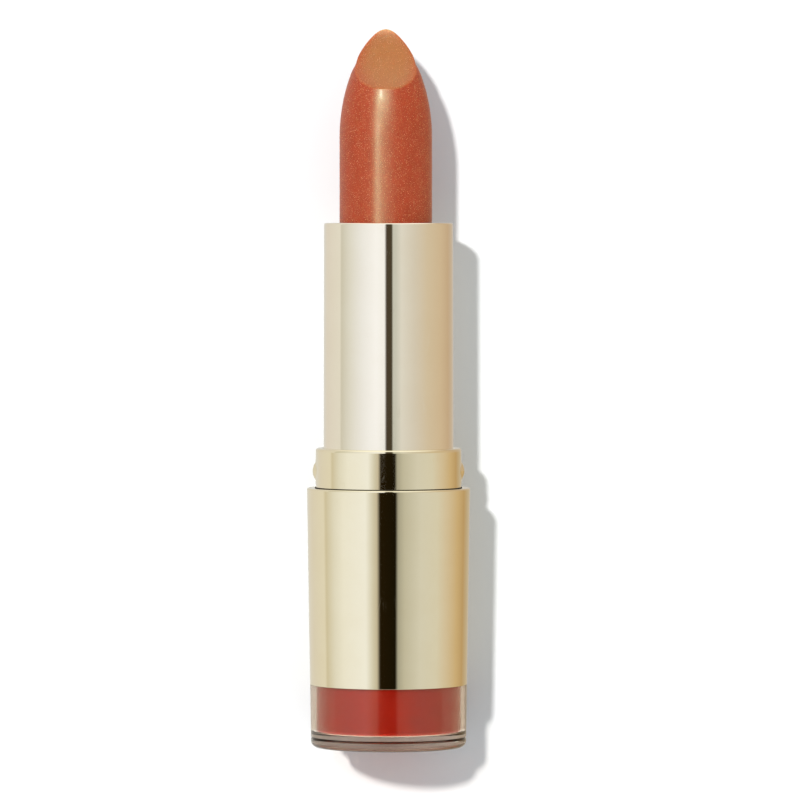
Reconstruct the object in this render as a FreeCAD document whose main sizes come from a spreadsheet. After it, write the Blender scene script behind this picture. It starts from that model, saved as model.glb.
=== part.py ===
import FreeCAD, Part

import math
import os
import re

import Sketcher

# Open lipstick in its swivel case, standing upright with the stick wound fully up.
# Millimetres, +Z up, origin at the centre of the foot, slanted face of the stick towards -Y.
# Each sub-part is drawn from its own bottom upwards and lifted to its level by its Placement.

doc = FreeCAD.newDocument("lipstick_case")
sheet = doc.addObject("Spreadsheet::Sheet", "dims")

DIMENSIONS = {
    # levels above the table of the bottom of each sub-part
    "cup_floor_level": 2.0,
    "sleeve_level": 8.2,
    "core_level": 12.2,
    "guide_level": 22.4,
    "brake_level": 24.05,
    "spiral_level": 25.0,
    "collar_level": 26.0,
    "bearing_level": 26.1,
    "shell_level": 39.3,
    "carrier_level": 53.2,
    # travel of the stick: it rests fully up, and two turns bring it fully down
    "travel": 27.0,
    "turns": 2.0,
    # clear base with the shade-coloured cup inside it
    "foot_radius": 10.17,
    "window_radius": 10.3,
    "window_bore": 9.25,
    "foot_corner": 1.2,
    "recess_radius": 8.2,
    "recess_depth": 0.5,
    "spigot_radius": 9.75,
    "spigot_height": 3.8,
    "label_radius": 8.1,
    "label_thickness": 0.2,
    "insert_radius": 9.2,
    "insert_height": 10.0,
    "insert_wall": 0.6,
    # tapered metal sleeve of the base
    "sleeve_height": 26.1,
    "sleeve_top_radius": 10.7,
    "sleeve_bore": 9.8,
    "sleeve_mouth": 9.65,
    "sleeve_lip": 1.0,
    "sleeve_rim_round": 0.35,
    # moulded core that carries the swivel inside the base
    "core_radius": 9.75,
    "core_height": 13.8,
    "core_skirt_bore": 8.9,
    "core_floor_height": 9.0,
    "core_floor": 1.2,
    "core_socket": 9.1,
    "core_hole": 3.0,
    "rib_count": 8,
    "rib_thickness": 0.8,
    "rib_reach": 5.0,
    "rib_gap": 0.4,
    # collar with its two cap detents
    "collar_radius": 9.55,
    "collar_height": 13.2,
    "collar_wall": 0.35,
    "collar_top": 0.4,
    "collar_mouth": 8.6,
    "collar_round": 0.45,
    "detent_level": 36.2,
    "detent_sphere": 1.85,
    "detent_crest": 9.95,
    "bearing_radius": 9.15,
    "bearing_bore": 8.38,
    "bearing_height": 12.6,
    # turning shell
    "shell_radius": 8.5,
    "shell_height": 29.4,
    "shell_wall": 0.3,
    "shell_mouth": 6.8,
    "shell_round": 0.3,
    # spiral sleeve fixed in the shell
    "spiral_radius": 8.15,
    "journal_radius": 8.3,
    "spiral_bore": 7.35,
    "spiral_height": 43.15,
    "spiral_flange": 8.95,
    "flange_height": 0.9,
    "groove_radius": 7.95,
    "groove_width": 2.1,
    # soft ring between the flange and the guide's foot
    "brake_radius": 8.1,
    "brake_section": 0.45,
    # slotted guide tube
    "guide_radius": 7.25,
    "guide_bore": 6.55,
    "guide_height": 45.7,
    "guide_foot_radius": 9.05,
    "guide_foot": 1.6,
    "guide_floor": 1.2,
    "guide_hole": 2.0,
    "slot_width": 2.0,
    # carrier cup and its two lugs
    "carrier_radius": 6.45,
    "carrier_bore": 5.95,
    "carrier_height": 14.0,
    "carrier_floor": 1.0,
    "carrier_hole": 1.5,
    "carrier_lead_in": 0.2,
    "key_count": 6,
    "key_depth": 0.35,
    "key_width": 0.6,
    "key_gap": 0.05,
    "lug_level": 2.3,
    "lug_radius": 0.9,
    "lug_reach": 7.75,
    "lug_gap": 0.15,
    # moulded stick: straight part, pointed-arch nose and one slanted face
    "stick_radius": 6.05,
    "shank_radius": 5.9,
    "shank_height": 12.95,
    "nose_level": 79.95,
    "nose_arc": 23.6,
    "slant_centre_level": 92.63,
    "slant_angle": 38.55,
    "slant_edge_round": 0.12,
}

for row, (name, value) in enumerate(DIMENSIONS.items(), start=1):
    sheet.set(f"A{row}", name.replace("_", " "))
    sheet.set(f"B{row}", str(value))
    sheet.setAlias(f"B{row}", name)
doc.recompute()

FULL_TURN = 360
BOTH_SIDES = 2
SAME_PLACE = 0.01
# Every new outline starts as a ring of corners here, and its formulas then pull it into shape.
START_CENTRE = (10, 20)
START_RADIUS = 5


def bound(formula):
    """The formula with every sheet name given its sheet."""
    return re.sub(r"[a-z_]+", lambda word: f"dims.{word[0]}" if word[0] in DIMENSIONS else word[0], formula)


def origin_plane(body, role):
    """One of the body's own origin planes or axes."""
    return next(item for item in body.Origin.OriginFeatures if item.Role == role)


def new_body(label, level):
    """An empty body lifted to its level."""
    body = doc.addObject("PartDesign::Body", label)
    body.Label = label
    body.setExpression(".Placement.Base.z", bound(level))
    return body


def new_sketch(body, name, plane="XZ_Plane", lift=None):
    """A sketch on an origin plane, moved off it by a formula if one is given."""
    sketch = body.newObject("Sketcher::SketchObject", name)
    sketch.AttachmentSupport = [(origin_plane(body, plane), "")]
    sketch.MapMode = "FlatFace"
    if lift:
        sketch.setExpression(".AttachmentOffset.Base.z", bound(lift))
    doc.recompute()
    return sketch


def pin(sketch, line, end, across, up):
    """Hold one end of a line at the two formulas."""
    for kind, axis, formula in (("DistanceX", -2, across), ("DistanceY", -1, up)):
        if formula == "0":
            sketch.addConstraint(Sketcher.Constraint("PointOnObject", line, end, axis))
            continue
        index = sketch.addConstraint(Sketcher.Constraint(kind, -1, 1, line, end, 1.0))
        sketch.setExpression(f"Constraints[{index}]", bound(formula))


def closed_outline(sketch, corners):
    """A closed polygon through (across, up) formulas."""
    count = len(corners)
    spots = []
    for index in range(count):
        angle = 2 * math.pi * index / count
        across = START_CENTRE[0] + START_RADIUS * math.cos(angle)
        up = START_CENTRE[1] + START_RADIUS * math.sin(angle)
        spots.append(FreeCAD.Vector(across, up, 0))
    for index in range(count):
        sketch.addGeometry(Part.LineSegment(spots[index], spots[(index + 1) % count]), False)
    for index in range(count):
        sketch.addConstraint(Sketcher.Constraint("Coincident", index, 2, (index + 1) % count, 1))
    for index, (across, up) in enumerate(corners):
        pin(sketch, index, 1, across, up)
    doc.recompute()


def turned(body, name, corners, kind="Revolution"):
    """Turn an outline of (radius, height) formulas about the body's axis."""
    sketch = new_sketch(body, name + "_outline")
    closed_outline(sketch, corners)
    feature = body.newObject("PartDesign::" + kind, name)
    feature.Profile = sketch
    feature.ReferenceAxis = (sketch, ["V_Axis"])
    feature.Angle = FULL_TURN
    doc.recompute()
    return feature


def around(body, name, original, count):
    """Repeat a feature evenly about the body's axis; count is a number or a sheet name."""
    pattern = body.newObject("PartDesign::PolarPattern", name)
    pattern.Originals = [original]
    pattern.Axis = (origin_plane(body, "Z_Axis"), [""])
    pattern.Angle = FULL_TURN
    if isinstance(count, int):
        pattern.Occurrences = count
    else:
        pattern.setExpression("Occurrences", bound(count))
    body.Tip = pattern
    doc.recompute()
    return pattern


def ring_edges(body, radius, height):
    """Names of the body's circular edges of one radius at one height above its bottom."""
    level = body.Placement.Base.z
    names = []
    for index, edge in enumerate(body.Shape.Edges, start=1):
        curve = edge.Curve
        if not isinstance(curve, Part.Circle):
            continue
        if abs(curve.Radius - radius) < SAME_PLACE and abs(curve.Center.z - level - height) < SAME_PLACE:
            names.append(f"Edge{index}")
    return names


def rounded(body, name, radius, height, size, kind="Fillet"):
    """Round or bevel the ring edge of a radius at a height by a sheet size."""
    base = body.Tip
    edges = ring_edges(body, radius, height)
    feature = body.newObject("PartDesign::" + kind, name)
    feature.Base = (base, edges)
    feature.setExpression("Radius" if kind == "Fillet" else "Size", bound(size))
    doc.recompute()
    return feature


def make_clear_base():
    """Clear moulded cup: foot ring, thick floor, window wall and a spigot up into the sleeve."""
    body = new_body("clear_base", "0")
    turned(body, "clear_wall", [
        ("0", "recess_depth"),
        ("recess_radius", "recess_depth"),
        ("recess_radius", "0"),
        ("foot_radius", "0"),
        ("window_radius", "sleeve_level"),
        ("spigot_radius", "sleeve_level"),
        ("spigot_radius", "sleeve_level + spigot_height"),
        ("window_bore", "sleeve_level + spigot_height"),
        ("window_bore", "cup_floor_level"),
        ("0", "cup_floor_level"),
    ])
    rounded(body, "foot_rounding", sheet.foot_radius, 0, "foot_corner")
    return body


def make_shade_insert():
    """Shade-coloured cup that lines the clear base."""
    body = new_body("shade_insert", "cup_floor_level")
    turned(body, "insert_wall_and_floor", [
        ("0", "0"),
        ("insert_radius", "0"),
        ("insert_radius", "insert_height"),
        ("insert_radius - insert_wall", "insert_height"),
        ("insert_radius - insert_wall", "insert_wall"),
        ("0", "insert_wall"),
    ])
    return body


def make_bottom_label():
    """Plain disc stuck in the recess under the clear base."""
    body = new_body("bottom_label", "recess_depth - label_thickness")
    turned(body, "label_disc", [
        ("0", "0"),
        ("label_radius", "0"),
        ("label_radius", "label_thickness"),
        ("0", "label_thickness"),
    ])
    return body


def make_base_sleeve():
    """Tapered metal sleeve with a short inward lip at its mouth."""
    body = new_body("base_sleeve", "sleeve_level")
    turned(body, "sleeve_wall", [
        ("sleeve_bore", "0"),
        ("window_radius", "0"),
        ("sleeve_top_radius", "sleeve_height"),
        ("sleeve_mouth", "sleeve_height"),
        ("sleeve_mouth", "sleeve_height - sleeve_lip"),
        ("sleeve_bore", "sleeve_height - sleeve_lip"),
    ])
    rounded(body, "rim_rounding", sheet.sleeve_top_radius, sheet.sleeve_height, "sleeve_rim_round")
    return body


def make_base_core():
    """Moulded core: socket for the guide's foot above, ribbed skirt below."""
    body = new_body("base_core", "core_level")
    turned(body, "core_wall_and_floor", [
        ("core_hole", "core_floor_height"),
        ("core_skirt_bore", "core_floor_height"),
        ("core_skirt_bore", "0"),
        ("core_radius", "0"),
        ("core_radius", "core_height"),
        ("core_socket", "core_height"),
        ("core_socket", "core_floor_height + core_floor"),
        ("core_hole", "core_floor_height + core_floor"),
    ])
    sketch = new_sketch(body, "rib_outline", "XY_Plane", lift="rib_gap")
    closed_outline(sketch, [
        ("rib_reach", "-rib_thickness / 2"),
        ("core_skirt_bore + rib_gap", "-rib_thickness / 2"),
        ("core_skirt_bore + rib_gap", "rib_thickness / 2"),
        ("rib_reach", "rib_thickness / 2"),
    ])
    rib = body.newObject("PartDesign::Pad", "rib")
    rib.Profile = sketch
    rib.setExpression("Length", bound("core_floor_height - rib_gap + core_floor / 2"))
    doc.recompute()
    around(body, "ribs", rib, "rib_count")
    return body


def make_collar():
    """Thin metal collar turned in at the top, with a pressed round detent on each side."""
    body = new_body("collar", "collar_level")
    turned(body, "collar_blank", [
        ("0", "0"),
        ("collar_radius", "0"),
        ("collar_radius", "collar_height"),
        ("0", "collar_height"),
    ])
    rounded(body, "collar_rounding", sheet.collar_radius, sheet.collar_height, "collar_round")
    bump = body.newObject("PartDesign::AdditiveSphere", "detent")
    bump.AttachmentSupport = [(origin_plane(body, "XY_Plane"), "")]
    bump.MapMode = "FlatFace"
    bump.setExpression("Radius", bound("detent_sphere"))
    bump.setExpression(".AttachmentOffset.Base.x", bound("detent_crest - detent_sphere"))
    bump.setExpression(".AttachmentOffset.Base.z", bound("detent_level - collar_level"))
    doc.recompute()
    around(body, "detents", bump, BOTH_SIDES)
    turned(body, "collar_bore", [
        ("0", "0"),
        ("collar_radius - collar_wall", "0"),
        ("collar_radius - collar_wall", "collar_height - collar_top"),
        ("collar_mouth", "collar_height - collar_top"),
        ("collar_mouth", "collar_height"),
        ("0", "collar_height"),
    ], kind="Groove")
    return body


def make_bearing():
    """Moulded ring between the collar and the journal of the spiral sleeve."""
    body = new_body("bearing_ring", "bearing_level")
    turned(body, "bearing_wall", [
        ("bearing_bore", "0"),
        ("bearing_radius", "0"),
        ("bearing_radius", "bearing_height"),
        ("bearing_bore", "bearing_height"),
    ])
    return body


def make_outer_shell():
    """Thin metal tube pressed over the spiral sleeve, its top edge turned inwards."""
    body = new_body("outer_shell", "shell_level")
    turned(body, "shell_wall_and_mouth", [
        ("shell_radius - shell_wall", "0"),
        ("shell_radius", "0"),
        ("shell_radius", "shell_height"),
        ("shell_mouth", "shell_height"),
        ("shell_mouth", "shell_height - shell_wall"),
        ("shell_radius - shell_wall", "shell_height - shell_wall"),
    ])
    rounded(body, "shell_rounding", sheet.shell_radius, sheet.shell_height, "shell_round")
    return body


def make_spiral_sleeve():
    """Moulded sleeve: retaining flange, journal that turns in the bearing, two spiral grooves."""
    body = new_body("spiral_sleeve", "spiral_level")
    turned(body, "spiral_wall", [
        ("spiral_bore", "0"),
        ("spiral_flange", "0"),
        ("spiral_flange", "flange_height"),
        ("journal_radius", "flange_height"),
        ("journal_radius", "shell_level - spiral_level"),
        ("spiral_radius", "shell_level - spiral_level"),
        ("spiral_radius", "spiral_height"),
        ("spiral_bore", "spiral_height"),
    ])
    # Each groove runs past both end positions of a lug by the lug's own radius and its play.
    lead = "travel / turns"
    overrun = "asin((lug_radius + lug_gap) / spiral_bore)"
    overrun_rise = f"{lead} * {overrun} / 360 deg"
    lowest = f"carrier_level + lug_level - travel - spiral_level - {overrun_rise}"
    half_height = f"groove_width / 2 * sqrt(1 + ({lead} / (2 * pi * groove_radius)) ^ 2)"
    sketch = new_sketch(body, "groove_section")
    sketch.AttachmentOffset = FreeCAD.Placement(
        FreeCAD.Vector(0, 0, 0), FreeCAD.Rotation(FreeCAD.Vector(0, -1, 0), 1))
    sketch.setExpression(".AttachmentOffset.Rotation.Angle", bound(overrun))
    closed_outline(sketch, [
        ("guide_radius", f"{lowest} - {half_height}"),
        ("groove_radius", f"{lowest} - {half_height}"),
        ("groove_radius", f"{lowest} + {half_height}"),
        ("guide_radius", f"{lowest} + {half_height}"),
    ])
    groove = body.newObject("PartDesign::SubtractiveHelix", "groove")
    groove.Profile = sketch
    groove.ReferenceAxis = (sketch, ["V_Axis"])
    groove.Mode = "pitch-height-angle"
    groove.setExpression("Pitch", bound(lead))
    groove.setExpression("Height", bound(f"travel + 2 * {overrun_rise}"))
    doc.recompute()
    around(body, "grooves", groove, BOTH_SIDES)
    return body


def make_brake_ring():
    """Soft ring that lies on the guide's foot and drags on the spiral's flange."""
    ring = doc.addObject("Part::Torus", "brake_ring")
    ring.Label = "brake_ring"
    ring.setExpression("Radius1", bound("brake_radius"))
    ring.setExpression("Radius2", bound("brake_section"))
    ring.setExpression(".Placement.Base.z", bound("brake_level + brake_section"))
    doc.recompute()
    return ring


def make_guide_tube():
    """Moulded inner tube with a foot, a drilled floor and two straight slots for the lugs."""
    body = new_body("guide_tube", "guide_level")
    turned(body, "guide_wall_and_foot", [
        ("guide_hole", "0"),
        ("guide_foot_radius", "0"),
        ("guide_foot_radius", "guide_foot"),
        ("guide_radius", "guide_foot"),
        ("guide_radius", "guide_height"),
        ("guide_bore", "guide_height"),
        ("guide_bore", "guide_floor"),
        ("guide_hole", "guide_floor"),
    ])
    lug_up = "carrier_level + lug_level - guide_level"
    sketch = new_sketch(body, "slot_outline", "YZ_Plane")
    closed_outline(sketch, [
        ("-slot_width / 2", f"{lug_up} - travel - lug_radius - lug_gap"),
        ("slot_width / 2", f"{lug_up} - travel - lug_radius - lug_gap"),
        ("slot_width / 2", f"{lug_up} + lug_radius + lug_gap"),
        ("-slot_width / 2", f"{lug_up} + lug_radius + lug_gap"),
    ])
    slots = body.newObject("PartDesign::Pocket", "slots")
    slots.Profile = sketch
    slots.Midplane = True
    slots.setExpression("Length", bound("2 * guide_radius + 1"))
    doc.recompute()
    return body


def make_bullet_cup():
    """Carrier cup with a drilled floor, inner keys that hold the stick and two round lugs."""
    body = new_body("bullet_cup", "carrier_level")
    turned(body, "cup_wall_and_floor", [
        ("carrier_hole", "0"),
        ("carrier_radius", "0"),
        ("carrier_radius", "carrier_height"),
        ("carrier_bore", "carrier_height"),
        ("carrier_bore", "carrier_floor"),
        ("carrier_hole", "carrier_floor"),
    ])
    rounded(body, "cup_lead_in", sheet.carrier_radius, 0, "carrier_lead_in", kind="Chamfer")
    sketch = new_sketch(body, "key_outline", "XY_Plane", lift="carrier_floor / 2")
    closed_outline(sketch, [
        ("carrier_bore - key_depth", "-key_width / 2"),
        ("(carrier_bore + carrier_radius) / 2", "-key_width / 2"),
        ("(carrier_bore + carrier_radius) / 2", "key_width / 2"),
        ("carrier_bore - key_depth", "key_width / 2"),
    ])
    key = body.newObject("PartDesign::Pad", "key")
    key.Profile = sketch
    key.setExpression("Length", bound("carrier_height - 3 * carrier_floor / 2"))
    doc.recompute()
    around(body, "keys", key, "key_count")
    lug_sketch = new_sketch(body, "lug_outline", "YZ_Plane", lift="(carrier_bore + carrier_radius) / 2")
    start = Part.Circle(FreeCAD.Vector(*START_CENTRE, 0), FreeCAD.Vector(0, 0, 1), START_RADIUS)
    circle = lug_sketch.addGeometry(start, False)
    size = lug_sketch.addConstraint(Sketcher.Constraint("Radius", circle, 1.0))
    lug_sketch.setExpression(f"Constraints[{size}]", bound("lug_radius"))
    pin(lug_sketch, circle, 3, "0", "lug_level")
    lug = body.newObject("PartDesign::Pad", "lug")
    lug.Profile = lug_sketch
    lug.setExpression("Length", bound("lug_reach - (carrier_bore + carrier_radius) / 2"))
    doc.recompute()
    around(body, "lugs", lug, BOTH_SIDES)
    return body


def make_bullet():
    """Moulded stick: keyed shank, straight part, pointed-arch nose cut by one slanted face."""
    body = new_body("bullet", "carrier_level + carrier_floor + key_gap")
    bottom = "(carrier_level + carrier_floor + key_gap)"
    shoulder = sheet.shank_height
    nose = sheet.nose_level - sheet.carrier_level - sheet.carrier_floor - sheet.key_gap
    arc_centre = sheet.stick_radius - sheet.nose_arc
    apex_angle = math.acos(-arc_centre / sheet.nose_arc)
    apex = nose + sheet.nose_arc * math.sin(apex_angle)
    sketch = new_sketch(body, "stick_outline")
    corners = [
        (0, 0), (sheet.shank_radius, 0), (sheet.shank_radius, shoulder),
        (sheet.stick_radius, shoulder), (sheet.stick_radius, nose),
    ]
    points = [FreeCAD.Vector(across, up, 0) for across, up in corners]
    for start, end in zip(points, points[1:]):
        sketch.addGeometry(Part.LineSegment(start, end), False)
    circle = Part.Circle(FreeCAD.Vector(arc_centre, nose, 0), FreeCAD.Vector(0, 0, 1), sheet.nose_arc)
    arc = sketch.addGeometry(Part.ArcOfCircle(circle, 0, apex_angle), False)
    axis_line = sketch.addGeometry(
        Part.LineSegment(FreeCAD.Vector(0, apex, 0), FreeCAD.Vector(0, 0, 0)), False)
    for index in range(3):
        sketch.addConstraint(Sketcher.Constraint("Coincident", index, 2, index + 1, 1))
    sketch.addConstraint(Sketcher.Constraint("Tangent", 3, 2, arc, 1))
    sketch.addConstraint(Sketcher.Constraint("Coincident", arc, 2, axis_line, 1))
    sketch.addConstraint(Sketcher.Constraint("Coincident", axis_line, 2, 0, 1))
    size = sketch.addConstraint(Sketcher.Constraint("Radius", arc, sheet.nose_arc))
    sketch.setExpression(f"Constraints[{size}]", bound("nose_arc"))
    pin(sketch, 0, 1, "0", "0")
    pin(sketch, 1, 1, "shank_radius", "0")
    pin(sketch, 2, 1, "shank_radius", "shank_height")
    pin(sketch, 3, 1, "stick_radius", "shank_height")
    pin(sketch, 3, 2, "stick_radius", f"nose_level - {bottom}")
    sketch.addConstraint(Sketcher.Constraint("PointOnObject", arc, 2, -2))
    doc.recompute()
    solid = body.newObject("PartDesign::Revolution", "stick")
    solid.Profile = sketch
    solid.ReferenceAxis = (sketch, ["V_Axis"])
    solid.Angle = FULL_TURN
    doc.recompute()
    cut_slant(body, bottom)
    cut_key_grooves(body)
    return body


def cut_slant(body, bottom):
    """Cut everything in front of the slanted plane, then soften the edge it leaves."""
    run = "tan(slant_angle * 1 deg)"
    centre = f"slant_centre_level - {bottom}"
    reach = "2 * stick_radius"
    sketch = new_sketch(body, "slant_outline", "YZ_Plane")
    closed_outline(sketch, [
        (f"-{reach}", f"{centre} - {reach} / {run}"),
        (f"{reach}", f"{centre} + {reach} / {run}"),
        (f"-{reach}", f"{centre} + {reach} / {run}"),
    ])
    slant = body.newObject("PartDesign::Pocket", "slant")
    slant.Profile = sketch
    slant.Midplane = True
    slant.setExpression("Length", bound("4 * stick_radius"))
    doc.recompute()
    face = next(face for face in body.Shape.Faces if isinstance(face.Surface, Part.Plane)
                and SAME_PLACE < face.normalAt(0, 0).z < 1 - SAME_PLACE)
    names = [f"Edge{index}" for index, edge in enumerate(body.Shape.Edges, start=1)
             if any(edge.isSame(other) for other in face.Edges)]
    softened = body.newObject("PartDesign::Fillet", "slant_edge")
    softened.Base = (slant, names)
    softened.setExpression("Radius", bound("slant_edge_round"))
    doc.recompute()


def cut_key_grooves(body):
    """Grooves in the shank for the keys of the carrier cup."""
    sketch = new_sketch(body, "key_groove_outline", "XY_Plane")
    closed_outline(sketch, [
        ("carrier_bore - key_depth - key_gap", "-key_width / 2 - key_gap"),
        ("stick_radius", "-key_width / 2 - key_gap"),
        ("stick_radius", "key_width / 2 + key_gap"),
        ("carrier_bore - key_depth - key_gap", "key_width / 2 + key_gap"),
    ])
    groove = body.newObject("PartDesign::Pocket", "key_groove")
    groove.Profile = sketch
    groove.Reversed = True
    groove.setExpression("Length", bound("shank_height"))
    doc.recompute()
    around(body, "key_grooves", groove, "key_count")


parts = [
    make_clear_base(),
    make_shade_insert(),
    make_bottom_label(),
    make_base_sleeve(),
    make_base_core(),
    make_collar(),
    make_bearing(),
    make_outer_shell(),
    make_spiral_sleeve(),
    make_brake_ring(),
    make_guide_tube(),
    make_bullet_cup(),
    make_bullet(),
]
doc.recompute()

for item in doc.Objects:
    if "Invalid" in item.State or "Error" in item.State:
        raise RuntimeError(f"{item.Name} did not compute: {item.State}")

os.makedirs("parts", exist_ok=True)
for part in parts:
    shape = part.Shape
    if shape.isNull() or not shape.isValid() or len(shape.Solids) != 1:
        raise RuntimeError(f"{part.Label} is not one valid solid")
    shape.exportStep(f"parts/{part.Label}.step")
    box = shape.BoundBox
    print(f"{part.Label:14s} volume {shape.Volume:9.2f} mm3   radius {box.XMax:6.2f}"
          f"   z {box.ZMin:6.2f} to {box.ZMax:6.2f}")
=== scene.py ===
# %% [markdown]
# # An open lipstick
#
# The case stands upright in its own frame: +Z runs up its axis, and the slanted face of the stick looks
# towards -Y. The imported model gives every piece its place, so the script starts by loading it and reads
# each piece's box from it.

# %% Load the frame
import math

import bmesh
import bpy
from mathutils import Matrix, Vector


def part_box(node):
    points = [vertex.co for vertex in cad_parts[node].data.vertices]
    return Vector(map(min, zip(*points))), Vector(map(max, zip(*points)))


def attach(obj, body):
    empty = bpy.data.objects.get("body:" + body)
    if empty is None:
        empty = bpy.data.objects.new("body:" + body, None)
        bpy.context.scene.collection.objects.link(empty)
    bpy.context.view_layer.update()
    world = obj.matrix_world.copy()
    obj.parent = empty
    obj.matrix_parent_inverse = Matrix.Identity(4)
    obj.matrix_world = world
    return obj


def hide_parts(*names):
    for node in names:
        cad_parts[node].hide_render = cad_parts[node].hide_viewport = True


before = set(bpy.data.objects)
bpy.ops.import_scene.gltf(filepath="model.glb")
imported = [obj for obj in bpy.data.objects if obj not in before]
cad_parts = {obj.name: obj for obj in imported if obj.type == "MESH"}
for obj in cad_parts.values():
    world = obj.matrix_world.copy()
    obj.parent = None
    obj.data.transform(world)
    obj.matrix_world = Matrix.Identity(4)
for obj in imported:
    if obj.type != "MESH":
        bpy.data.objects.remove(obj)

MM = 0.001
FULL_TURN = 2 * math.pi
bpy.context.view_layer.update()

# %% [markdown]
# ## Camera
#
# A case like this is shown lying on a sheet, with a long lens looking straight down on it. In the case's
# own frame that is a camera in front of it, level with the top of its tube and tipped slightly down to the
# middle. The tip is used instead of a lens shift, so the other views stay centred.

# %% Camera
CAMERA_DISTANCE = 0.850
CAMERA_LEVEL = 0.0688
CAMERA_ASIDE = 0.0015
AIM_LEVEL = 0.0455
LENS_MM = 292.0
SENSOR_MM = 36.0

camera_data = bpy.data.cameras.new("camera")
camera_data.lens = LENS_MM
camera_data.sensor_width = SENSOR_MM
camera = bpy.data.objects.new("camera", camera_data)
camera.location = (CAMERA_ASIDE, -CAMERA_DISTANCE, CAMERA_LEVEL)
aim = Vector((CAMERA_ASIDE, 0, AIM_LEVEL)) - camera.location
camera.rotation_euler = aim.to_track_quat("-Z", "Y").to_euler()
bpy.context.scene.collection.objects.link(camera)
bpy.context.scene.camera = camera
bpy.context.scene.view_settings.view_transform = "Standard"
print("camera tip in degrees:", round(math.degrees(math.atan2(AIM_LEVEL - CAMERA_LEVEL, CAMERA_DISTANCE)), 2))

# %% [markdown]
# ## Small helpers for node trees
#
# Every finish below is a node tree, so a few short helpers keep them readable: one adds a node with its
# settings, one adds a sum or a product, and one starts a group with named sockets.


# %% Node helpers
def add(tree, kind, settings=None, **inputs):
    """Add a node; inputs may be values or other nodes' output sockets."""
    node = tree.nodes.new(kind)
    for name, value in (settings or {}).items():
        setattr(node, name, value)
    for name, value in inputs.items():
        plug(tree, node.inputs[name.replace("_", " ")], value)
    return node


def plug(tree, socket, value):
    """Link an output socket to a socket, or set a plain value on it."""
    if isinstance(value, bpy.types.NodeSocket):
        tree.links.new(value, socket)
    else:
        socket.default_value = value


def calc(tree, operation, *values, clamp=False):
    """One Math node; returns its output."""
    node = tree.nodes.new("ShaderNodeMath")
    node.operation = operation
    node.use_clamp = clamp
    for socket, value in zip(node.inputs, values):
        plug(tree, socket, value)
    return node.outputs[0]


def remap(tree, value, low, high, to_low=0.0, to_high=1.0):
    """Map a range of a value smoothly onto another range."""
    node = tree.nodes.new("ShaderNodeMapRange")
    node.interpolation_type = "SMOOTHSTEP"
    for name, number in (("From Min", low), ("From Max", high), ("To Min", to_low), ("To Max", to_high)):
        node.inputs[name].default_value = number
    plug(tree, node.inputs["Value"], value)
    return node.outputs["Result"]


def blend_colour(tree, factor, first, second):
    """Mix two colours by a factor."""
    node = tree.nodes.new("ShaderNodeMix")
    node.data_type = "RGBA"
    plug(tree, node.inputs["Factor"], factor)
    plug(tree, node.inputs["A"], first)
    plug(tree, node.inputs["B"], second)
    return node.outputs["Result"]


def start_group(name, inputs, outputs):
    """A shader node group with named inputs (name, kind, value) and outputs (name, kind)."""
    tree = bpy.data.node_groups.new(name, "ShaderNodeTree")
    for label, kind, value in inputs:
        socket = tree.interface.new_socket(label, in_out="INPUT", socket_type="NodeSocket" + kind)
        if value is not None:
            socket.default_value = value
    for label, kind in outputs:
        tree.interface.new_socket(label, in_out="OUTPUT", socket_type="NodeSocket" + kind)
    return tree, tree.nodes.new("NodeGroupInput").outputs, tree.nodes.new("NodeGroupOutput").inputs


def use_group(tree, group, **values):
    """Place a group in a material; returns its outputs."""
    node = tree.nodes.new("ShaderNodeGroup")
    node.node_tree = group
    for name, value in values.items():
        plug(tree, node.inputs[name.replace("_", " ")], value)
    return node.outputs


def start_material(name, **surface):
    """A material with one Principled shader; returns the material, its tree, shader and object position."""
    material = bpy.data.materials.new(name)
    material.use_nodes = True
    tree = material.node_tree
    shader = tree.nodes["Principled BSDF"]
    for label, value in surface.items():
        shader.inputs[label.replace("_", " ")].default_value = value
    where = tree.nodes.new("ShaderNodeTexCoord").outputs["Object"]
    return material, tree, shader, where


# %% [markdown]
# ## Studio
#
# Polished metal shows nothing but its surroundings, so the studio matters as much as the finish. The
# surround is a world whose colour changes with the compass direction: a wide white stretch on the left, a
# dark slot straight ahead that draws the black line down the metal, and a dimmer, warmer stretch on the
# right. The slot is narrower for the tube than for the base, which looks slightly further down.
#
# That surround shows in reflections and through the clear plastic. The camera sees a plain pale background
# in its place, and matte surfaces take a plain fill, dimmer on the left, so that the dark slot doesn't darken
# them.

# %% Surround
# Each stop is a compass direction in degrees from straight ahead (right is positive) and a colour.
HIGH_SURROUND = [
    (-180, (0.70, 0.69, 0.64)), (-140, (0.75, 0.68, 0.57)), (-97, (0.80, 0.75, 0.63)),
    (-93, (0.64, 0.60, 0.48)), (-74, (0.76, 0.73, 0.63)), (-47, (0.89, 0.87, 0.83)),
    (-22, (1.00, 0.98, 0.96)), (-7.0, (0.97, 0.95, 0.91)), (-3.8, (0.07, 0.05, 0.03)),
    (5.8, (0.07, 0.055, 0.03)), (8.3, (0.60, 0.59, 0.50)), (13, (0.61, 0.60, 0.51)),
    (23, (0.76, 0.72, 0.62)), (47, (0.69, 0.62, 0.50)), (74, (0.67, 0.55, 0.38)),
    (106, (0.65, 0.50, 0.32)), (132, (0.58, 0.42, 0.26)), (150, (0.58, 0.46, 0.33)),
    (180, (0.62, 0.58, 0.52)),
]
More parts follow.
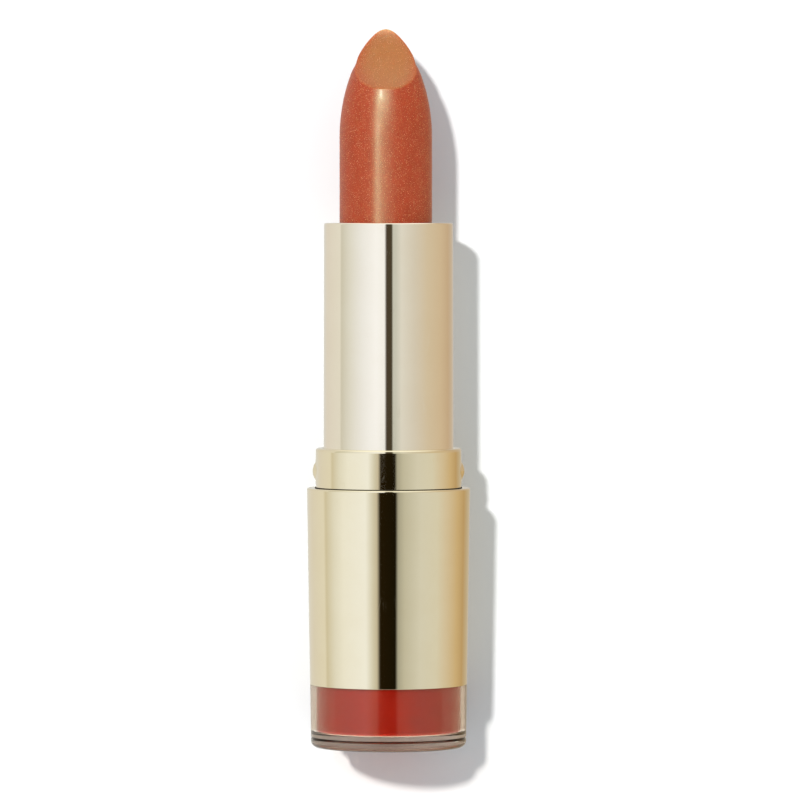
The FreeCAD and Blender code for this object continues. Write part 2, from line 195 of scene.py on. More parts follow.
LOW_SURROUND = [
    (-180, (0.74, 0.72, 0.68)), (-140, (0.76, 0.70, 0.60)), (-106, (0.81, 0.75, 0.62)),
    (-101, (0.68, 0.61, 0.46)), (-84, (0.82, 0.79, 0.70)), (-68, (0.92, 0.90, 0.84)),
    (-33, (0.96, 0.95, 0.93)), (-22, (0.70, 0.66, 0.55)), (-16.8, (0.62, 0.55, 0.43)),
    (-12.4, (0.016, 0.009, 0.002)), (10.2, (0.010, 0.007, 0.002)), (13.9, (0.43, 0.41, 0.33)),
    (23, (0.58, 0.55, 0.45)), (47, (0.72, 0.69, 0.60)), (74, (0.74, 0.69, 0.57)),
    (89, (0.72, 0.61, 0.45)), (116, (0.65, 0.47, 0.25)), (135, (0.54, 0.36, 0.17)),
    (150, (0.56, 0.44, 0.28)), (180, (0.60, 0.54, 0.46)),
]
SLOT_STEP_ELEVATION = -2.10
SLOT_STEP_HALF = 0.01
DOME_STARTS = 35
DOME_FULL = 65
OVERHEAD = (1.15, 1.1, 0.95)
UNDERFOOT = (1.10, 1.00, 0.88)
PALE_BACKGROUND = (0.985, 0.985, 0.985)
FILL_LEFT = (0.37, 0.42, 0.44)
FILL_RIGHT = (0.77, 0.83, 0.86)


def surround_ramp(tree, turn, stops):
    """A colour ramp round the compass."""
    node = tree.nodes.new("ShaderNodeValToRGB")
    elements = node.color_ramp.elements
    for index, (degrees, colour) in enumerate(stops):
        place = (degrees + 180) / 360
        if index < 2:
            elements[index].position = place
            element = elements[index]
        else:
            element = elements.new(place)
        element.color = (*colour, 1)
    tree.links.new(turn, node.inputs["Fac"])
    return node.outputs["Color"]


world = bpy.data.worlds.new("studio")
bpy.context.scene.world = world
world.use_nodes = True
sky = world.node_tree
sky.nodes.clear()
direction = add(sky, "ShaderNodeTexCoord").outputs["Generated"]
across, along, up = add(sky, "ShaderNodeSeparateXYZ", Vector=direction).outputs
compass = calc(sky, "ARCTAN2", across, calc(sky, "MULTIPLY", along, -1.0))
turn = calc(sky, "MULTIPLY_ADD", compass, 1 / FULL_TURN, 0.5)
elevation = calc(sky, "DEGREES", calc(sky, "ARCSINE", up))
step = remap(sky, elevation, SLOT_STEP_ELEVATION - SLOT_STEP_HALF, SLOT_STEP_ELEVATION + SLOT_STEP_HALF)
low_wall = surround_ramp(sky, turn, LOW_SURROUND)
high_wall = surround_ramp(sky, turn, HIGH_SURROUND)
wall = blend_colour(sky, step, low_wall, high_wall)
topped = blend_colour(sky, remap(sky, elevation, DOME_STARTS, DOME_FULL), wall, (*OVERHEAD, 1))
surround = blend_colour(sky, remap(sky, elevation, -DOME_STARTS, -DOME_FULL), topped, (*UNDERFOOT, 1))
rays = add(sky, "ShaderNodeLightPath").outputs
fill = blend_colour(sky, remap(sky, across, -1.0, 1.0), (*FILL_LEFT, 1), (*FILL_RIGHT, 1))
filled = blend_colour(sky, rays["Is Diffuse Ray"], surround, fill)
seen = blend_colour(sky, rays["Is Camera Ray"], filled, (*PALE_BACKGROUND, 1))
background = add(sky, "ShaderNodeBackground", Color=seen)
add(sky, "ShaderNodeOutputWorld", Surface=background.outputs[0])
print("surround stops:", len(HIGH_SURROUND), len(LOW_SURROUND))

# %% [markdown]
# One lamp, up and to the left, throws the shadow. A sun lamp a few degrees wide gives an edge that is
# slightly soft, and the same everywhere. It is kept out of reflections, where it would burn a hard white
# spot into every polished rim.

# %% Key lamp
KEY_FROM = Vector((-0.295, -1.0, 0.36))
KEY_WIDTH_DEGREES = 3.5
KEY_STRENGTH = 2.75

key_data = bpy.data.lights.new("key", "SUN")
key_data.energy = KEY_STRENGTH
key_data.angle = math.radians(KEY_WIDTH_DEGREES)
key = bpy.data.objects.new("key", key_data)
key.rotation_euler = (-KEY_FROM).to_track_quat("-Z", "Y").to_euler()
key.visible_glossy = False
bpy.context.scene.collection.objects.link(key)

# %% [markdown]
# The pale floor is the sheet that the case lies on. In the case's own frame it stands just behind the base,
# which touches it. It is a single face that is clear from behind, so that the back of the case can be seen.
# It throws no shadow, and reflections pass it by, so that the metal shows the studio all the way round.

# %% Sheet
SHEET_GAP = 0.0001
SHEET_HALF = 1.5
sheet_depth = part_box("base_sleeve")[1].y + SHEET_GAP
sheet_mesh = bpy.data.meshes.new("pale_sheet")
corners = [(-SHEET_HALF, sheet_depth, -SHEET_HALF), (SHEET_HALF, sheet_depth, -SHEET_HALF),
           (SHEET_HALF, sheet_depth, SHEET_HALF), (-SHEET_HALF, sheet_depth, SHEET_HALF)]
sheet_mesh.from_pydata(corners, [], [(0, 1, 2, 3)])
pale_sheet = bpy.data.objects.new("pale_sheet", sheet_mesh)
bpy.context.scene.collection.objects.link(pale_sheet)
pale_sheet.visible_glossy = False
pale_sheet.visible_shadow = False

sheet_material = bpy.data.materials.new("pale_sheet")
sheet_material.use_nodes = True
tree = sheet_material.node_tree
tree.nodes.clear()
matte = add(tree, "ShaderNodeBsdfDiffuse", Color=(0.80, 0.80, 0.80, 1))
clear = add(tree, "ShaderNodeBsdfTransparent")
behind = add(tree, "ShaderNodeNewGeometry").outputs["Backfacing"]
mix = add(tree, "ShaderNodeMixShader", Fac=behind)
tree.links.new(matte.outputs[0], mix.inputs[1])
tree.links.new(clear.outputs[0], mix.inputs[2])
add(tree, "ShaderNodeOutputMaterial", Surface=mix.outputs[0])
sheet_mesh.materials.append(sheet_material)
print("sheet stands", round(sheet_depth / MM, 2), "mm behind the axis")

# %% [markdown]
# ## Shared effects
#
# Three effects serve more than one finish. *Handled metal* gives polished metal its faint draw lines, hair
# scratches and uneven polish. *Moulded skin* gives plastic the soft ripple and specks of a moulded surface.
# *Shimmer* gives wax its fine pearl. Each is a group that puts out only values, and each material sets its
# own amounts.


# %% Handled metal
# Each layer of scratches is two turns in radians and a scale.
SCRATCH_LAYERS = ((0.5, 0.3, 260.0), (1.1, 2.0, 340.0), (0.2, 1.2, 420.0))
HAIR_WIDTH = 0.012
SCRATCHED_PATCHES = (0.52, 0.68)
SCRATCH_ROUGHNESS = 0.18
FINEST_POLISH = 0.02


def make_handled_metal():
    tree, given, result = start_group(
        "handled_metal",
        [("Where", "Vector", None), ("Polish", "Float", 0.08), ("Unevenness", "Float", 0.02),
         ("Scratches", "Float", 0.5), ("Draw Lines", "Float", 0.5)],
        [("Roughness", "Float"), ("Height", "Float"), ("Tone", "Float")])
    stretched = add(tree, "ShaderNodeMapping", Vector=given["Where"], Scale=(1, 1, 0.03))
    lines = add(tree, "ShaderNodeTexNoise", Vector=stretched.outputs[0], Scale=1400.0, Detail=3.0)
    cloud = add(tree, "ShaderNodeTexNoise", Vector=given["Where"], Scale=220.0, Detail=4.0, Roughness=0.6)
    scratch_total = None
    for turn_y, turn_z, scale in SCRATCH_LAYERS:
        turned = add(tree, "ShaderNodeMapping", Vector=given["Where"], Rotation=(0.3, turn_y, turn_z),
                     Scale=(1, 0.02, 0.12))
        cells = add(tree, "ShaderNodeTexVoronoi", {"feature": "DISTANCE_TO_EDGE"},
                    Vector=turned.outputs[0], Scale=scale)
        hair = remap(tree, cells.outputs["Distance"], HAIR_WIDTH, 0.0)
        scratch_total = hair if scratch_total is None else calc(tree, "MAXIMUM", scratch_total, hair)
    patch = remap(tree, cloud.outputs[0], *SCRATCHED_PATCHES)
    scratches = calc(tree, "MULTIPLY", calc(tree, "MULTIPLY", scratch_total, patch), given["Scratches"])
    lined = calc(tree, "MULTIPLY", calc(tree, "SUBTRACT", lines.outputs[0], 0.5), given["Draw Lines"])
    uneven = calc(tree, "MULTIPLY", calc(tree, "SUBTRACT", cloud.outputs[0], 0.5), given["Unevenness"])
    rough = calc(tree, "ADD", given["Polish"], uneven)
    rough = calc(tree, "MULTIPLY_ADD", scratches, SCRATCH_ROUGHNESS, rough)
    plug(tree, result["Roughness"], calc(tree, "MAXIMUM", rough, FINEST_POLISH))
    plug(tree, result["Height"], calc(tree, "SUBTRACT", lined, scratches))
    plug(tree, result["Tone"], cloud.outputs[0])
    return tree


handled_metal = make_handled_metal()


# %% Moulded skin
SPECK_EDGE = (0.12, 0.05)
SPECK_HEIGHT = 0.1
GRAIN_HEIGHT = 0.35
RIPPLE_ROUGHNESS = 0.18
FINEST_SKIN = 0.03


def make_moulded_skin():
    tree, given, result = start_group(
        "moulded_skin",
        [("Where", "Vector", None), ("Gloss", "Float", 0.35), ("Grain", "Float", 9000.0)],
        [("Roughness", "Float"), ("Height", "Float"), ("Tone", "Float")])
    fine = add(tree, "ShaderNodeTexNoise", Vector=given["Where"], Scale=given["Grain"], Detail=2.0)
    ripple = add(tree, "ShaderNodeTexNoise", Vector=given["Where"], Scale=350.0, Detail=3.0)
    specks = add(tree, "ShaderNodeTexVoronoi", Vector=given["Where"], Scale=1600.0)
    speck = remap(tree, specks.outputs["Distance"], *SPECK_EDGE)
    swell = calc(tree, "SUBTRACT", ripple.outputs[0], 0.5)
    rough = calc(tree, "MULTIPLY_ADD", swell, RIPPLE_ROUGHNESS, given["Gloss"])
    plug(tree, result["Roughness"], calc(tree, "MAXIMUM", rough, FINEST_SKIN))
    height = calc(tree, "MULTIPLY_ADD", fine.outputs[0], GRAIN_HEIGHT, ripple.outputs[0])
    plug(tree, result["Height"], calc(tree, "MULTIPLY_ADD", speck, SPECK_HEIGHT, height))
    plug(tree, result["Tone"], ripple.outputs[0])
    return tree


moulded_skin = make_moulded_skin()


# %% Shimmer
SPOT_EDGE = (0.55, 0.35)


def make_shimmer():
    tree, given, result = start_group(
        "shimmer",
        [("Where", "Vector", None), ("Cells", "Float", 6500.0), ("Share", "Float", 0.2)],
        [("Mask", "Float"), ("Tone", "Float")])
    cells = add(tree, "ShaderNodeTexVoronoi", Vector=given["Where"], Scale=given["Cells"])
    lottery, tone, _ = add(tree, "ShaderNodeSeparateColor", Color=cells.outputs["Color"]).outputs
    chosen = calc(tree, "LESS_THAN", lottery, given["Share"])
    spot = remap(tree, cells.outputs["Distance"], *SPOT_EDGE)
    plug(tree, result["Mask"], calc(tree, "MULTIPLY", chosen, spot))
    plug(tree, result["Tone"], tone)
    return tree


shimmer = make_shimmer()


# %% [markdown]
# ## Finishes
#
# The tube and the base are thin aluminium, polished and dyed gold: the tube very pale, the base and collar
# warmer. Bare metal has no colour of its own beyond its reflection, so the whole finish is a metallic
# Principled shader with a low, slightly uneven roughness. The draw lines are far too fine to see one by one,
# but they stretch the reflections along the piece.


# %% Gold finishes
def gold_finish(name, colour, deeper, polish, lines):
    material, tree, shader, where = start_material(name, Metallic=1.0)
    wear = use_group(tree, handled_metal, Where=where, Polish=polish, Draw_Lines=lines)
    tint = blend_colour(tree, remap(tree, wear["Tone"], 0.35, 0.65), (*colour, 1), (*deeper, 1))
    plug(tree, shader.inputs["Base Color"], tint)
    plug(tree, shader.inputs["Roughness"], wear["Roughness"])
    bump = add(tree, "ShaderNodeBump", Strength=0.05, Distance=0.00002, Height=wear["Height"])
    plug(tree, shader.inputs["Normal"], bump.outputs[0])
    return material


tube_gold = gold_finish("tube_gold", (0.94, 0.92, 0.86), (0.93, 0.905, 0.84), 0.045, 0.5)
base_gold = gold_finish("base_gold", (0.90, 0.86, 0.705), (0.89, 0.845, 0.685), 0.035, 0.8)

# %% [markdown]
# The clear base is moulded in a hard, glass-clear plastic. It bends light like glass and is lit through, so a
# shadow ray is let straight past: without that the coloured cup inside would lie in the dark. Its tint goes
# by height and is mostly painted light: a brownish painted shade in the wall, which darkens the wall and what
# is seen through it; nearly clear in the thick floor; and an orange painted reflection of the cup and label
# at the very foot. A narrow dark band of painted shade marks the groove that runs round the foot.


# %% Clear plastic
FOOT_LINE = 0.00126
LINE_EDGE = (0.00013, 0.00020)
FOOT_EDGE = (0.0003, 0.0007)
FLOOR_EDGE = (0.0020, 0.0026)
# Painted shade: a dark band in the clear plastic at the groove round the foot.
GROOVE_PAINTED_SHADE = (0.03, 0.01, 0.006, 1)
# Painted reflection: the orange of the label and cup, painted into the clear plastic at the very foot.
FOOT_PAINTED_REFLECTION = (0.92, 0.50, 0.30, 1)
FLOOR_TINT = (1.0, 0.94, 0.83, 1)
# Painted shade: a brownish tint that darkens the wall and what is seen through it.
WALL_PAINTED_SHADE = (0.53, 0.41, 0.31, 1)
SKIN_SHARE = 0.6


def clear_plastic_finish():
    material, tree, shader, where = start_material(
        "clear_plastic", IOR=1.49, Transmission_Weight=1.0)
    level = add(tree, "ShaderNodeSeparateXYZ", Vector=where).outputs["Z"]
    # Tint by height: painted reflection at the foot, painted shade in the wall and in the groove.
    foot = blend_colour(tree, remap(tree, level, *FOOT_EDGE), FOOT_PAINTED_REFLECTION, FLOOR_TINT)
    tint = blend_colour(tree, remap(tree, level, *FLOOR_EDGE), foot, WALL_PAINTED_SHADE)
    off_line = calc(tree, "ABSOLUTE", calc(tree, "SUBTRACT", level, FOOT_LINE))
    tint = blend_colour(tree, remap(tree, off_line, *LINE_EDGE), GROOVE_PAINTED_SHADE, tint)
    plug(tree, shader.inputs["Base Color"], tint)
    skin = use_group(tree, moulded_skin, Where=where, Gloss=0.03, Grain=4000.0)
    plug(tree, shader.inputs["Roughness"], calc(tree, "MULTIPLY", skin["Roughness"], SKIN_SHARE))
    bump = add(tree, "ShaderNodeBump", Strength=0.03, Distance=0.00005, Height=skin["Height"])
    plug(tree, shader.inputs["Normal"], bump.outputs[0])
    clear = add(tree, "ShaderNodeBsdfTransparent", Color=(0.95, 0.94, 0.92, 1))
    shadow_ray = add(tree, "ShaderNodeLightPath").outputs["Is Shadow Ray"]
    mix = add(tree, "ShaderNodeMixShader", Fac=shadow_ray)
    tree.links.new(shader.outputs[0], mix.inputs[1])
    tree.links.new(clear.outputs[0], mix.inputs[2])
    tree.links.new(mix.outputs[0], tree.nodes["Material Output"].inputs["Surface"])
    return material


clear_plastic = clear_plastic_finish()


# %% [markdown]
# The other plastics differ only in colour and gloss, so one function makes them: the orange-red cup and label
# that show the shade, the undyed mouldings of the mechanism, the gold-coloured carrier, and the dark brown
# rubber of the brake ring, whose colour also serves for the dark ring of painted shade in the seam. The cup
# glows with painted light, in place of the light that gathers in a real one behind its clear wall, and a
# strong coat gives it a hard gloss.


# %% Moulded plastics
def moulded_finish(name, colour, darker, gloss, grain=9000.0, bump_strength=0.12, glow=0.0):
    material, tree, shader, where = start_material(name)
    skin = use_group(tree, moulded_skin, Where=where, Gloss=gloss, Grain=grain)
    tint = blend_colour(tree, remap(tree, skin["Tone"], 0.3, 0.7), (*darker, 1), (*colour, 1))
    plug(tree, shader.inputs["Base Color"], tint)
    plug(tree, shader.inputs["Emission Color"], tint)
    shader.inputs["Emission Strength"].default_value = glow
    plug(tree, shader.inputs["Roughness"], skin["Roughness"])
    bump = add(tree, "ShaderNodeBump", Strength=bump_strength, Distance=0.00004, Height=skin["Height"])
    plug(tree, shader.inputs["Normal"], bump.outputs[0])
    return material


# The cup's glow is painted light, in place of the light that gathers behind the clear wall.
shade_plastic = moulded_finish("shade_plastic", (0.195, 0.007, 0.003), (0.18, 0.0065, 0.0026), 0.5, glow=1.8)
shade_gloss = shade_plastic.node_tree.nodes["Principled BSDF"].inputs
shade_gloss["Specular IOR Level"].default_value = 0.2
shade_gloss["Coat Weight"].default_value = 1.0
shade_gloss["Coat IOR"].default_value = 1.95
shade_gloss["Coat Roughness"].default_value = 0.12
shade_paper = moulded_finish("shade_paper", (0.62, 0.10, 0.03), (0.56, 0.085, 0.025), 0.5, 14000.0)
natural_plastic = moulded_finish("natural_plastic", (0.80, 0.78, 0.73), (0.74, 0.72, 0.67), 0.42)
carrier_plastic = moulded_finish("carrier_plastic", (0.72, 0.60, 0.36), (0.66, 0.54, 0.31), 0.3)
# This dark colour serves the brake ring's rubber and also the ring of painted shade in the seam.
soft_rubber = moulded_finish("soft_rubber", (0.016, 0.011, 0.006), (0.010, 0.007, 0.004), 0.65)


# %% [markdown]
# The stick is coloured wax with a fine golden pearl. The body colour is a deep orange-red that lets a little
# light in, with a soft, broad gloss from its oily skin. The pearl is in the shader where it is too fine to
# see as grains, and the larger flakes are real pieces, further down. The slanted face faces up into the light
# and catches more sheen, so a painted sheen is laid on it: a lighter, more orange colour painted into the
# wax, which weakens towards its outline.


# %% Wax
# The slanted face in mm: where it crosses the axis, its lean and curve, its middle and half sizes. Its
# painted sheen goes as deep as the skin pair and weakens over the fade pair, which is in squares of the half
# sizes.
FACE_CROSS = 90.5
FACE_LEAN = 0.857
FACE_CURVE = -0.0797
FACE_CENTRE = 89.6
FACE_HALF_WIDTH = 3.9
FACE_HALF_HEIGHT = 5.0
FACE_SHEEN_SKIN = (0.45, 0.02)
FACE_SHEEN_FADE = (1.15, 0.15)
FACE_SHEEN_AT_EDGE = 0.35
# Painted sheen: the lighter orange laid on the slanted face, where it catches more light and gloss.
FACE_SHEEN_COLOUR = (0.37, 0.110, 0.027, 1)
WAX_DEEP = (0.34, 0.024, 0.006, 1)
WAX_LIGHT = (0.37, 0.029, 0.008, 1)
PEARL_DEEP = (0.42, 0.10, 0.03, 1)
PEARL_LIGHT = (0.70, 0.30, 0.12, 1)
PEARL_STRENGTH = 0.55
WAX_ROUGHNESS = 0.38
WAX_UNEVENNESS = 0.12


def wax_finish():
    material, tree, shader, where = start_material(
        "stick_wax", IOR=1.56, Subsurface_Weight=0.5, Subsurface_Scale=0.0015,
        Coat_Weight=0.05, Coat_Roughness=0.15, Coat_IOR=1.4)
    shader.inputs["Subsurface Radius"].default_value = (1.0, 0.35, 0.15)
    shader.inputs["Specular Tint"].default_value = (0.66, 1.0, 0.62, 1)
    pearl = use_group(tree, shimmer, Where=where, Cells=8500.0, Share=0.28)
    cloud = add(tree, "ShaderNodeTexNoise", Vector=where, Scale=900.0, Detail=3.0)
    body = blend_colour(tree, remap(tree, cloud.outputs[0], 0.35, 0.65), WAX_DEEP, WAX_LIGHT)
    across, along, level = add(tree, "ShaderNodeSeparateXYZ", Vector=where).outputs
    above = calc(tree, "SUBTRACT", calc(tree, "MULTIPLY", level, 1 / MM), FACE_CROSS)
    lean = calc(tree, "MULTIPLY_ADD", above, FACE_CURVE, FACE_LEAN)
    depth = calc(tree, "SUBTRACT", calc(tree, "MULTIPLY", along, 1 / MM), calc(tree, "MULTIPLY", above, lean))
    # Paint the face's sheen into the wax colour, weaker towards its outline.
    face = remap(tree, depth, *FACE_SHEEN_SKIN)
    wide = calc(tree, "DIVIDE", across, FACE_HALF_WIDTH * MM)
    high = calc(tree, "DIVIDE", calc(tree, "SUBTRACT", level, FACE_CENTRE * MM), FACE_HALF_HEIGHT * MM)
    out = calc(tree, "ADD", calc(tree, "MULTIPLY", wide, wide), calc(tree, "MULTIPLY", high, high))
    face = calc(tree, "MULTIPLY", face, remap(tree, out, *FACE_SHEEN_FADE, FACE_SHEEN_AT_EDGE, 1.0))
    body = blend_colour(tree, face, body, FACE_SHEEN_COLOUR)
    golden = blend_colour(tree, pearl["Tone"], PEARL_DEEP, PEARL_LIGHT)
    tint = blend_colour(tree, calc(tree, "MULTIPLY", pearl["Mask"], PEARL_STRENGTH), body, golden)
    plug(tree, shader.inputs["Base Color"], tint)
    swell = calc(tree, "SUBTRACT", cloud.outputs[0], 0.5)
    uneven = calc(tree, "MULTIPLY_ADD", swell, WAX_UNEVENNESS, WAX_ROUGHNESS)
    plug(tree, shader.inputs["Roughness"], uneven)
    ripple = add(tree, "ShaderNodeTexNoise", Vector=where, Scale=5000.0, Detail=2.0)
    bump = add(tree, "ShaderNodeBump", Strength=0.12, Distance=0.00003, Height=ripple.outputs[0])
    plug(tree, shader.inputs["Normal"], bump.outputs[0])
    return material


FLAKE_TONE_CELL = 0.0003
FLAKE_COPPER = (0.60, 0.22, 0.10, 1)
FLAKE_GOLD = (1.0, 0.66, 0.42, 1)
FLAKE_ROUGHNESS = (0.35, 0.6)


def flake_finish():
    material, tree, shader, where = start_material("golden_flake", Metallic=1.0)
    snap = add(tree, "ShaderNodeVectorMath", {"operation": "SNAP"})
    plug(tree, snap.inputs[0], where)
    snap.inputs[1].default_value = (FLAKE_TONE_CELL, FLAKE_TONE_CELL, FLAKE_TONE_CELL)
    tone = add(tree, "ShaderNodeTexWhiteNoise", Vector=snap.outputs[0])
    tint = blend_colour(tree, tone.outputs["Value"], FLAKE_COPPER, FLAKE_GOLD)
    plug(tree, shader.inputs["Base Color"], tint)
    plug(tree, shader.inputs["Roughness"], remap(tree, tone.outputs["Value"], 0.0, 1.0, *FLAKE_ROUGHNESS))
    return material


stick_wax = wax_finish()
golden_flake = flake_finish()
print("finishes:", [material.name for material in bpy.data.materials])

# %% [markdown]
# ## Outlines with round corners
#
# Every shell of the case is a turned shape: an outline swung round the axis. An outline is written as
# corners (radius, level, rounding). The helper replaces each rounded corner with a true arc, because pressed
# and polished metal has no knife edges, and the arc is what catches the thin bright rim line.


# %% Outline helper
HOLD_MM = 0.03
LONG_MM = 4 * HOLD_MM


def rounded_outline(corners, closed=True, steps=8):
    """Corner list (radius, level, rounding) in mm to points in metres, with an arc at each rounding."""
    points = []
    count = len(corners)
    for index, (radius, level, rounding) in enumerate(corners):
        here = Vector((radius, level))
        if rounding == 0 or (not closed and index in (0, count - 1)):
            points.append(here * MM)
            continue
        before = Vector(corners[index - 1][:2]) - here
        after = Vector(corners[(index + 1) % count][:2]) - here
        half = before.angle(after) / 2
        back = rounding / math.tan(half)
        centre = here + (before.normalized() + after.normalized()).normalized() * (rounding / math.sin(half))
        first = here + before.normalized() * back - centre
        last = here + after.normalized() * back - centre
        sweep = first.angle_signed(last)
        for step_index in range(steps + 1):
            angle = -sweep * step_index / steps
            spun = Vector((first.x * math.cos(angle) - first.y * math.sin(angle),
                           first.x * math.sin(angle) + first.y * math.cos(angle)))
            points.append((centre + spun) * MM)
    return held_outline(points, closed)


def held_outline(points, closed):
    """Add a point just inside each end of every long straight, so that flat walls shade flat."""
    held = []
    for index, point in enumerate(points):
        held.append(point)
        if index == len(points) - 1 and not closed:
            break
        following = points[(index + 1) % len(points)]
        length = (following - point).length
        if length > LONG_MM * MM:
            along = (following - point) * (HOLD_MM * MM / length)
            held += [point + along, following - along]
    return held


# %% [markdown]
# ## The lathe
#
# One Geometry Nodes tree does the turning. It takes the outline's points, makes a grid with one column for
# each step round the axis, reads the outline's radius and level for every row, and bends the grid into a
# ring. Nothing is modelled twice, and the number of steps is an input.


# %% Lathe tree
MERGE_DISTANCE = 1e-7


def geometry_tree(name, inputs):
    """A Geometry Nodes tree with a geometry input and output and named inputs (name, kind, value)."""
    tree = bpy.data.node_groups.new(name, "GeometryNodeTree")
    tree.interface.new_socket("Geometry", in_out="INPUT", socket_type="NodeSocketGeometry")
    for label, kind, value in inputs:
        socket = tree.interface.new_socket(label, in_out="INPUT", socket_type="NodeSocket" + kind)
        if value is not None:
            socket.default_value = value
    tree.interface.new_socket("Geometry", in_out="OUTPUT", socket_type="NodeSocketGeometry")
    given = tree.nodes.new("NodeGroupInput").outputs
    return tree, given, tree.nodes.new("NodeGroupOutput").inputs["Geometry"]


def finish_tree(tree, geometry, finish, result):
    """End a tree in Realize Instances and Set Material."""
    real = add(tree, "GeometryNodeRealizeInstances", Geometry=geometry)
    done = add(tree, "GeometryNodeSetMaterial", Geometry=real.outputs[0], Material=finish)
    tree.links.new(done.outputs[0], result)


def make_lathe():
    tree, given, result = geometry_tree(
        "lathe", [("Steps", "Int", 256), ("Closed", "Int", 1), ("Finish", "Material", None)])
    size = add(tree, "GeometryNodeAttributeDomainSize", Geometry=given["Geometry"])
    points = size.outputs["Point Count"]
    rows = calc(tree, "ADD", points, given["Closed"])
    columns = calc(tree, "ADD", given["Steps"], 1.0)
    grid = add(tree, "GeometryNodeMeshGrid", Vertices_X=columns, Vertices_Y=rows)
    index = add(tree, "GeometryNodeInputIndex").outputs[0]
    row = calc(tree, "MODULO", calc(tree, "MODULO", index, rows), points)
    column = calc(tree, "FLOOR", calc(tree, "DIVIDE", calc(tree, "ADD", index, 0.5), rows))
    place = add(tree, "GeometryNodeInputPosition").outputs[0]
    outline = add(tree, "GeometryNodeSampleIndex", {"data_type": "FLOAT_VECTOR"},
                  Geometry=given["Geometry"], Value=place, Index=row)
    radius, _, level = add(tree, "ShaderNodeSeparateXYZ", Vector=outline.outputs[0]).outputs
    angle = calc(tree, "MULTIPLY", calc(tree, "DIVIDE", column, given["Steps"]), FULL_TURN)
    bent = add(tree, "ShaderNodeCombineXYZ", X=calc(tree, "MULTIPLY", radius, calc(tree, "COSINE", angle)),
               Y=calc(tree, "MULTIPLY", radius, calc(tree, "SINE", angle)), Z=level)
    moved = add(tree, "GeometryNodeSetPosition", Geometry=grid.outputs["Mesh"], Position=bent.outputs[0])
    joined = add(tree, "GeometryNodeMergeByDistance", Geometry=moved.outputs[0], Distance=MERGE_DISTANCE)
    smooth = add(tree, "GeometryNodeSetShadeSmooth", Geometry=joined.outputs[0])
    finish_tree(tree, smooth.outputs[0], given["Finish"], result)
    return tree


lathe = make_lathe()
SHARP_EDGE_DEGREES = 28


def set_input(modifier, name, value):
    """Set a tree's input by the identifier of its socket."""
    for item in modifier.node_group.interface.items_tree:
        if item.item_type == "SOCKET" and item.in_out == "INPUT" and item.name == name:
            modifier[item.identifier] = value


def made_by(tree, name, source_mesh, **inputs):
    """Run a tree on a mesh and return the result as a plain object."""
    thing = bpy.data.objects.new(name, source_mesh)
    bpy.context.scene.collection.objects.link(thing)
    modifier = thing.modifiers.new("nodes", "NODES")
    modifier.node_group = tree
    for label, value in inputs.items():
        set_input(modifier, label.replace("_", " "), value)
    graph = bpy.context.evaluated_depsgraph_get()
    mesh = bpy.data.meshes.new_from_object(thing.evaluated_get(graph))
    thing.modifiers.clear()
    thing.data = mesh
    mesh.name = name
    return thing


def turned_piece(name, corners, finish, closed=True, steps=256):
    """A turned piece from its outline corners in mm."""
    points = rounded_outline(corners, closed)
    source = bpy.data.meshes.new(name + "_outline")
    source.from_pydata([(point.x, 0, point.y) for point in points], [], [])
    piece = made_by(lathe, name, source, Steps=steps, Closed=int(closed), Finish=finish)
    piece.data.set_sharp_from_angle(angle=math.radians(SHARP_EDGE_DEGREES))
    report(piece)
    return piece


def report(piece):
    """Print a piece's triangle count, its signed volume, which is positive when it faces outwards, and its
    open edges.
    """
    form = bmesh.new()
    form.from_mesh(piece.data)
    volume = form.calc_volume(signed=True) / MM ** 3
    open_edges = sum(1 for edge in form.edges if len(edge.link_faces) != 2)
    form.free()
    piece.data.calc_loop_triangles()
    print(f"{piece.name}: {len(piece.data.loop_triangles)} triangles, {volume:.2f} mm3, open {open_edges}")


def place(piece, body, node, slot):
    """Let a piece ride on a body and stand for a node of the frame, whose own mesh is hidden. The slot
    argument is not used.
    """
    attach(piece, body)
    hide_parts(node)


def levels(node):
    """Lowest level, highest level and radius of a node in mm."""
    low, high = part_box(node)
    return low.z / MM, high.z / MM, high.y / MM


# %% [markdown]
# ## Turning tube
#
# The tube is drawn from thin aluminium and its top edge is turned inwards. Only a short, bright rim shows
# from the front; from above, the turned-in mouth frames the stick. Its lower edge drops out of sight into
# the collar's mouth.

# %% Tube
tube_low, tube_high, tube_radius = levels("outer_shell")
TUBE_WALL = 0.3
TUBE_MOUTH = 6.8
TUBE_RIM = 0.28
TUBE_SINK = 0.35
TUBE_DRAFT = 0.06
tube = turned_piece("swivel_tube", [
    (tube_radius - TUBE_WALL, tube_low - TUBE_SINK, 0),
    (tube_radius, tube_low - TUBE_SINK, 0.05),
    (tube_radius - TUBE_DRAFT, tube_high, TUBE_RIM),
    (TUBE_MOUTH, tube_high, 0.1),
    (TUBE_MOUTH, tube_high - TUBE_WALL, 0.1),
    (tube_radius - TUBE_WALL, tube_high - TUBE_WALL, 0.1),
], tube_gold, steps=320)
place(tube, "swivel", "outer_shell", "tube_gold")

# %% [markdown]
# ## Base sleeve
#
# The base is a slightly tapered metal sleeve. Its rim is rolled over in a tight round, then drops to the
# collar with a fine gap, where a dark ring of painted shade shows as a dark line. The lower edge is cut flush
# with the clear window.

